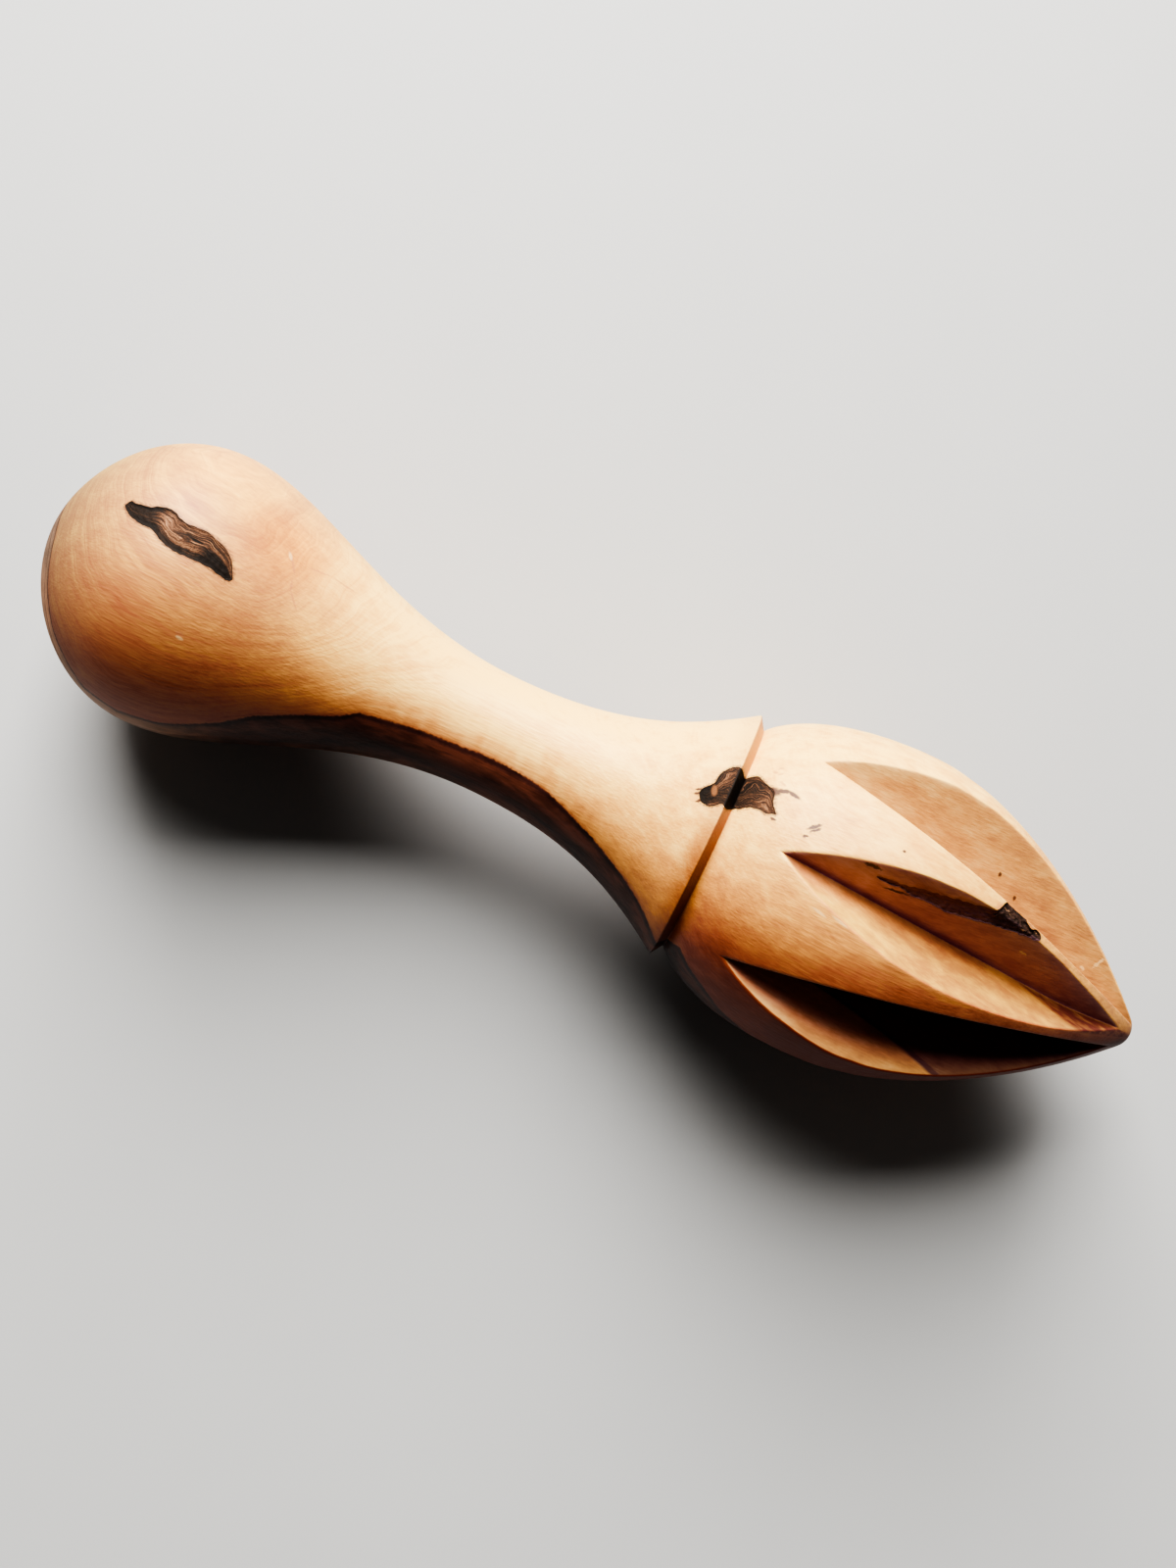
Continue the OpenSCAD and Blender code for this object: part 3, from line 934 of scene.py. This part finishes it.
def root_shade(shader, colour, along):
    """Painted shade in the flutes: the wood goes reddish and then dark towards the root, where the ribs' shadows and
    their soft edges fall.
    """
    root = shader.attribute("root")
    sunk = shader.attribute("sunk")
    middle = shader.math("MULTIPLY", shader.step(shader.attribute("facing"), -0.70, -0.45),
                         shader.step(root, -1.0, 0.0))
    middle = shader.math("MULTIPLY", middle, shader.step(along, 150.0, 132.0, 0.4, 1.0))
    inner = inner_wall(shader)
    # A place on the wall as a share: 0 at the root and 1 at the lip
    share = shader.math("DIVIDE", root, shader.math("MULTIPLY_ADD", sunk, 1.3, root))
    cut = shader.math("MULTIPLY", shader.step(sunk, 0.10, 0.45), shader.step(along, 108.0, 110.0))
    for near_root, low_wall, tint in ((shader.step(root, 3.4, 0.8), shader.step(share, 0.90, 0.55),
                                       (0.81, 0.61, 0.84)),
                                      (shader.step(root, 1.8, 0.2), shader.step(share, 0.66, 0.42),
                                       (0.52, 0.46, 0.55))):
        amount = shader.mix(inner, near_root, low_wall)
        reach = shader.math("MAXIMUM", middle, inner)
        amount = shader.math("MULTIPLY", shader.math("MULTIPLY", amount, reach), cut)
        colour = shader.mix(amount, colour, tint, "MULTIPLY")
    return colour


def root_wedge(shader, along):
    """The uppermost flute's dark root, which widens over its lower wall towards the tip."""
    root, facing = shader.attribute("root"), shader.attribute("facing")
    reach = shader.math("MULTIPLY_ADD", along, -WEDGE_GROWTH, root)
    reach = shader.math("ADD", reach, WEDGE_GROWTH * WEDGE_AT)
    streaks = shader.noise(shader.stretched(shader.axis_place(), 0.25, 1.6, 1.6), detail=2)
    share = shader.math("MULTIPLY", shader.step(reach, 0.25, -0.25), shader.step(streaks, 0.62, 0.40, 0.55, 1.0))
    share = shader.math("MULTIPLY", share, shader.step(root, 0.0, 0.2))
    share = shader.math("MULTIPLY", share, shader.step(facing, 0.06, -0.02))
    return shader.math("MULTIPLY", share, shader.step(facing, -0.45, -0.35))


def rim_shade(shader, along):
    """The flare is darker beside the collar's edge, most of all low down."""
    low = shader.step(shader.attribute("facing"), -0.75, 0.05, 0.22, 0.88)
    share = shader.math("MULTIPLY", shader.step(along, 97.3, 100.6), shader.step(along, 100.8, 100.65))
    return shader.math("MULTIPLY", share, low)


def wood_material():
    shader = Shader("figured_wood")
    place = shader.axis_place()
    along = shader.along(place)
    ragged = shader.noise(place, 2.2, detail=2)
    ragged = shader.math("SUBTRACT", ragged, 0.5)
    heart = shader.math("MULTIPLY_ADD", ragged, 0.5, shader.attribute("heart"))
    colour = sapwood(shader, place, shader.attribute("growth"))
    # The flutes are cut across the grain and left unpolished, so their walls take a tint; the tint's hue also changes
    # with the way a wall faces, as painted light and shade
    sunk = shader.step(shader.attribute("sunk"), 0.02, 0.20)
    wall = shader.math("MULTIPLY", sunk, shader.step(along, 108.0, 110.0))
    wall = shader.math("MULTIPLY", wall, shader.math("SUBTRACT", 1.0, inner_wall(shader)))
    middle = shader.step(shader.attribute("facing"), -0.75, -0.50)
    middle = shader.mix(middle, (0.71, 0.68, 0.84), (0.85, 0.91, 0.80))
    middle = shader.mix(shader.step(shader.attribute("facing"), 0.0, 0.2), middle, (0.88, 0.78, 0.84))
    # Painted shade: the upper wall of the uppermost flute, turned away from the window, gets a darker, bluer tint
    shaded = shader.step(shader.attribute("facing"), -0.75, -0.50)
    shaded = shader.math("MULTIPLY", shaded, shader.step(shader.attribute("facing"), 0.05, -0.15))
    shaded = shader.math("MULTIPLY", shaded, shader.step(shader.height(place), -1.0, 2.0))
    shaded = shader.math("MULTIPLY", shaded, shader.step(shader.attribute("root"), 0.1, -0.1))
    tint = shader.mix(shaded, middle, (0.78, 0.65, 1.75))
    colour = shader.mix(wall, colour, tint, "MULTIPLY")
    colour = root_shade(shader, colour, along)
    colour = shader.mix(inner_wall(shader), colour, (1.0, 0.93, 1.15), "MULTIPLY")
    colour = shader.mix(wall_stain(shader, along), colour, (0.25, 0.20, 0.45), "MULTIPLY")
    colour = shader.mix(root_wedge(shader, along), colour, (0.42, 0.24, 0.45), "MULTIPLY")
    colour = shader.mix(tip_stain(shader, along), colour, (0.42, 0.38, 0.60), "MULTIPLY")
    colour = shader.mix(rim_shade(shader, along), colour, (0.50, 0.34, 0.34), "MULTIPLY")
    end_grain = shader.math("ADD", shader.step(along, 22.0, 0.0, 0.0, 0.75), shader.step(along, 3.0, 0.0, 0.0, 0.25))
    colour = shader.mix(end_grain, colour, (0.30, 0.42, 0.60), "MULTIPLY")
    # The groove, with painted shade on its low side
    groove = shader.math("MULTIPLY", shader.step(along, 100.5, 100.75), shader.step(along, 102.0, 101.6))
    colour = shader.mix(shader.math("MULTIPLY", groove, 0.9), colour,
                        shader.ramp(shader.step(shader.attribute("facing"), -0.8, 0.4), GROOVE_AND_SHADE_STOPS))
    fringe = shader.math("MULTIPLY", shader.step(heart, -0.7, 0.0), shader.step(along, 40.0, 48.0))
    fringe = shader.math("MULTIPLY", fringe, shader.step(along, 101.0, 100.0))
    colour = shader.mix(fringe, colour, (0.78, 0.64, 0.74), "MULTIPLY")
    colour = shader.mix(shader.step(heart, -0.12, 0.12), colour, heartwood(shader, place, heart))
    tip_end = shader.step(along, 160.0, 164.6, 0.0, 0.9)
    colour = shader.mix(tip_end, colour, (0.58, 0.50, 0.54), "MULTIPLY")
    # Stain round the knots, and the small marks
    whisker = shader.noise(shader.stretched(place, 1.2, 4.5, 4.5), detail=2)
    near = shader.math("MULTIPLY_ADD", shader.math("SUBTRACT", whisker, 0.5), 1.2,
                       shader.attribute("rim"))
    near = shader.math("MULTIPLY", shader.step(near, 0.50, -0.05), shader.step(along, 112.0, 110.0, 0.25, 0.75))
    colour = shader.mix(near, colour, (0.15, 0.066, 0.042))
    astray = shader.scaled(shader.joined(ragged, ragged, ragged), 0.3)
    astray = shader.vector("ADD", place, astray)
    dark = marks_share(shader, astray, DARK_MARKS)
    faint = marks_share(shader, astray, FAINT_MARKS)
    pale = marks_share(shader, astray, PALE_MARKS)
    figure = marks_share(shader, astray, FIGURE_MARKS)
    colour = shader.mix(shader.math("MULTIPLY", figure, 0.45), colour, (0.48, 0.19, 0.10))
    colour = shader.mix(shader.math("MULTIPLY", dark, 0.9), colour, (0.085, 0.038, 0.024))
    colour = shader.mix(shader.math("MULTIPLY", faint, 0.95), colour, (0.110, 0.046, 0.028))
    colour = shader.mix(shader.math("MULTIPLY", pale, 0.55), colour, (0.85, 0.60, 0.30))
    fibre = shader.noise(shader.stretched(place, 0.25, 3.2, 3.2), detail=3)
    bump = shader.math("SUBTRACT", fibre, shader.math("MULTIPLY", dark, 0.8))
    roughness = shader.math("MULTIPLY_ADD", fibre, 0.16, 0.36)
    roughness = shader.math("MULTIPLY_ADD", end_grain, 0.5, roughness)
    return shader.finish(colour, roughness, 0.32, bump, 0.05 * MM)


KNOT_STOPS = [
    (0.32, (0.018, 0.012, 0.009)),
    (0.46, (0.045, 0.024, 0.014)),
    (0.55, (0.110, 0.048, 0.026)),
    (0.64, (0.250, 0.122, 0.064)),
    (0.76, (0.430, 0.245, 0.130)),
]
KNOT_TAN = (0.36, 0.155, 0.066)


def knot_lines(shader, place, count, sway, strength):
    """The knot's fine growth lines, as a tone round 0.5; count is how many lie side by side."""
    run, across = shader.attribute("run"), shader.attribute("across")
    bend = shader.noise(shader.stretched(place, 0.30, 0.30, 0.30), detail=2)
    bend = shader.math("MULTIPLY", shader.math("SUBTRACT", bend, 0.5), sway)
    lane = shader.math("ADD", across, bend)
    fine = shader.noise(shader.joined(shader.math("MULTIPLY", lane, count),
                                      shader.math("MULTIPLY", run, 4.5), 0.0), detail=3, roughness=0.6)
    broad = shader.noise(shader.joined(shader.math("MULTIPLY", lane, count * 0.22),
                                       shader.math("MULTIPLY", run, 2.0), 5.0), detail=2)
    grit = shader.noise(place, 5.0, detail=3, roughness=0.7)
    tone = shader.math("MULTIPLY_ADD", shader.math("SUBTRACT", fine, 0.5), strength, 0.5)
    tone = shader.math("MULTIPLY_ADD", shader.math("SUBTRACT", broad, 0.5), strength * 0.5, tone)
    return shader.math("MULTIPLY_ADD", shader.math("SUBTRACT", grit, 0.5), 0.30, tone)


def knot_finish(shader, tone, tan=0.0):
    tone = shader.math("SUBTRACT", tone, shader.step(shader.attribute("edge"), 0.22, 0.0, 0.0, 0.08))
    colour = shader.mix(tan, shader.ramp(tone, KNOT_STOPS), KNOT_TAN)
    return shader.finish(colour, 0.68, 0.2, tone, 0.06 * MM)


def handle_knot_material():
    """Pale S-shaped lines between a dark end, a dark lower edge and a black lobe."""
    shader = Shader("knot_wood")
    run, across = shader.attribute("run"), shader.attribute("across")
    tone = shader.math("ADD", knot_lines(shader, shader.axis_place(), 30.0, 0.5, 0.95), 0.075)
    dark_end = shader.step(run, 0.38, 0.24, 0.0, 0.22)
    low_edge = shader.step(across, 0.72, 0.84, 0.0, 0.18)
    lobe = shader.math("MULTIPLY", shader.step(run, 0.62, 0.74), shader.step(across, 0.36, 0.52, 0.0, 0.30))
    high_edge = shader.step(across, 0.40, 0.12, 0.0, 0.05)
    strokes = shader.math("MULTIPLY", marks_share(shader, shader.axis_place(), KNOT_STROKES), 0.22)
    for shade in (dark_end, low_edge, lobe, high_edge, strokes):
        tone = shader.math("SUBTRACT", tone, shade)
    return knot_finish(shader, tone)


def collar_knot_material():
    """Dark brown lines, nearly black in the groove, with one tan spot."""
    shader = Shader("groove_knot_wood")
    place = shader.axis_place()
    along = shader.along(place)
    tone = shader.math("SUBTRACT", knot_lines(shader, place, 44.0, 0.9, 0.95), 0.05)
    groove = shader.math("MULTIPLY", shader.step(along, 100.3, 100.6), shader.step(along, 102.0, 101.6, 0.0, 0.22))
    low_end = shader.step(along, 98.9, 97.5, 0.0, 0.20)
    for shade in (groove, low_end):
        tone = shader.math("SUBTRACT", tone, shade)
    tan = shader.math("MULTIPLY", marks_share(shader, place, KNOT_SPOT), 0.6)
    tone = shader.math("ADD", tone, shader.step(along, 103.5, 105.5, 0.0, 0.07))
    return knot_finish(shader, tone, tan)


def bark_material():
    """Dark threads that thicken along the streak, with pale flakes where it reaches the crest."""
    shader = Shader("bark")
    place = shader.axis_place()
    run, across = shader.attribute("run"), shader.attribute("across")
    threads = shader.noise(shader.joined(shader.math("MULTIPLY", across, 7.0),
                                         shader.math("MULTIPLY", run, 5.0), 0.0), detail=3)
    grit = shader.noise(shader.stretched(place, 0.9, 2.2, 2.2), detail=4, roughness=0.65)
    flake = shader.noise(shader.stretched(place, 1.0, 3.4, 3.4), detail=1)
    # How far a point of the thin stretch is from its dark middle
    away = shader.math("ABSOLUTE", shader.math("SUBTRACT", across, 0.62))
    open_wood = shader.math("MULTIPLY_ADD", shader.math("SUBTRACT", threads, 0.5), 1.1, away)
    open_wood = shader.math("MULTIPLY", shader.step(open_wood, 0.10, 0.34), shader.step(run, 0.58, 0.30, 0.0, 0.4))
    # One bark in three copies: dark on the lit crest, and paler, bluer where it lies down the shaded wall and along
    # its lower edge, as painted light against that shade
    dark = shader.ramp(grit, [(0.40, (0.034, 0.021, 0.017)), (0.70, (0.100, 0.052, 0.036))])
    wall_bark_in_shade = shader.ramp(grit, [(0.40, (0.180, 0.085, 0.125)), (0.70, (0.300, 0.140, 0.150))])
    shaded = shader.ramp(grit, [(0.40, (0.080, 0.042, 0.052)), (0.70, (0.160, 0.078, 0.080))])
    dark = shader.mix(shader.step(across, 0.60, 0.85), dark, shaded)
    dark = shader.mix(shader.step(run, 0.58, 0.68), wall_bark_in_shade, dark)
    lines = shader.math("MULTIPLY", shader.step(threads, 0.48, 0.60), shader.step(run, 0.74, 0.60, 0.0, 0.8))
    dark = shader.mix(lines, dark, (0.260, 0.130, 0.105))
    colour = shader.mix(open_wood, dark, (0.330, 0.130, 0.085))
    flakes = shader.math("MULTIPLY", shader.step(flake, 0.42, 0.60), marks_share(shader, place, BARK_FLAKES))
    colour = shader.mix(shader.math("MULTIPLY", flakes, 0.7), colour, (0.45, 0.25, 0.14))
    return shader.finish(colour, 0.75, 0.15, grit, 0.25 * MM)


def floor_material():
    shader = Shader("pale_floor")
    speck = shader.noise(shader.add("TexCoord", output=3), 40.0, detail=2)
    colour = shader.ramp(speck, [(0.2, (0.455, 0.455, 0.450)), (0.8, (0.465, 0.465, 0.460))])
    return shader.finish(colour, 0.55, 0.3)


# Camera, floor and light

CAMERA_AT = (0.004048, -0.019694, 0.253350)
CAMERA_TURN = (4.634, -1.193, 25.366)
FOCAL_LENGTH = 38.25
SENSOR = 36.0
FLOOR_HALF = 1.5
# The window: the way towards it over the floor, how high it stands, and its size
WINDOW_WAY = (-0.44, 0.90)
WINDOW_HIGH = 41 * DEG
WINDOW_FAR = 1.1
WINDOW_SIZE = (0.75, 0.95)
WINDOW_POWER = 46.0
SKY_LIGHT = 0.085
VIEW_LOOK = "AgX - Very High Contrast"
EXPOSURE = -0.4


def make_camera():
    data = bpy.data.cameras.new("photo_camera")
    data.sensor_width = SENSOR
    data.lens = FOCAL_LENGTH
    data.clip_start = 0.01
    data.clip_end = 20
    camera = bpy.data.objects.new("photo_camera", data)
    camera.location = CAMERA_AT
    camera.rotation_euler = [a * DEG for a in CAMERA_TURN]
    bpy.context.scene.collection.objects.link(camera)
    bpy.context.scene.camera = camera


def make_floor():
    corners = [(x * FLOOR_HALF, y * FLOOR_HALF, 0) for x, y in ((-1, -1), (1, -1), (1, 1), (-1, 1))]
    floor = new_object("floor", corners, [(0, 1, 2, 3)])
    floor.data.materials.append(floor_material())


def make_light():
    light = bpy.data.lights.new("window", "AREA")
    light.shape = "RECTANGLE"
    light.size, light.size_y = WINDOW_SIZE
    light.energy = WINDOW_POWER
    light.color = (1.0, 0.985, 0.96)
    lamp = bpy.data.objects.new("window", light)
    way = Vector((*WINDOW_WAY, 0)).normalized() * math.cos(WINDOW_HIGH)
    lamp.location = (way + Vector((0, 0, math.sin(WINDOW_HIGH)))) * WINDOW_FAR
    lamp.rotation_euler = (-lamp.location).to_track_quat("-Z", "Y").to_euler()
    bpy.context.scene.collection.objects.link(lamp)
    world = bpy.data.worlds.new("room")
    bpy.context.scene.world = world
    world.use_nodes = True
    background = world.node_tree.nodes["Background"]
    background.inputs["Color"].default_value = (1.0, 0.99, 0.97, 1.0)
    background.inputs["Strength"].default_value = SKY_LIGHT


def make_picture():
    view = bpy.context.scene.view_settings
    view.view_transform = "AgX"
    view.look = VIEW_LOOK
    view.exposure = EXPOSURE


def make_reamer():
    body = make_body()
    materials = {
        "handle_knot": handle_knot_material(),
        "collar_knot": collar_knot_material(),
        "flute_streak": bark_material(),
    }
    cutters, rims, looks = [], [], [(body, "turned_body", "sapwood")]
    for seed, inlay in enumerate(INLAYS):
        plug, cutter, rim = make_inlay(inlay, seed)
        plug.data.materials.append(materials[inlay.node])
        cutters.append(cutter)
        rims.append(rim)
        looks.append((plug, inlay.node, inlay.slot))
    cut_pockets(body, cutters)
    paint_fields(body, rims)
    body.data.materials.clear()
    body.data.materials.append(wood_material())
    for look, node, slot in looks:
        bake_map(look)
        look.data.shade_smooth()
        look.data.set_sharp_from_angle(angle=40 * DEG)
        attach(look, "root")
        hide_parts(node)


make_reamer()
make_floor()
make_light()
make_camera()
make_picture()
